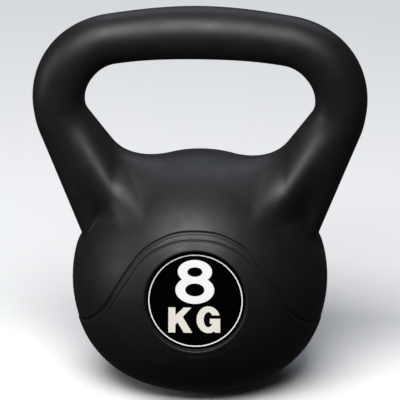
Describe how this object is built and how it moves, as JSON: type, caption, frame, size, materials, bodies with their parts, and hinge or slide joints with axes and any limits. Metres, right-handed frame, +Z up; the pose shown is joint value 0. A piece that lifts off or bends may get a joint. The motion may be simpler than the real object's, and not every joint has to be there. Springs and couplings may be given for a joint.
{
  "type": "kettlebell",
  "caption": "Plastic-skinned kettlebell with a ball-shaped body, a looped handle that widens into horns, a cement fill and round weight badges.",
  "frame": {"origin": "centre of the flat base, on the floor the part stands on", "axes": "+Z up through the grip, X along the grip, -Y towards the front badge"},
  "size_m": [0.2301, 0.1694, 0.2673],
  "materials": {
    "moulded_skin": "satin, lightly grained",
    "cement_fill": "rough cast",
    "plug_plastic": "satin",
    "badge_face": "flat black print",
    "white_print": "flat white ink",
    "cream_print": "flat cream ink"
  },
  "bodies": {
    "root": {"moulded_shell": "moulded_skin", "cement_core": "cement_fill", "filler_plug": "plug_plastic", "front_badge": "badge_face", "front_ring": "white_print", "front_figure": "white_print", "front_letter_k": "cream_print", "front_letter_g": "cream_print", "back_badge": "badge_face", "back_ring": "white_print", "back_figure": "white_print", "back_letter_k": "cream_print", "back_letter_g": "cream_print"}
  },
  "joints": []
}
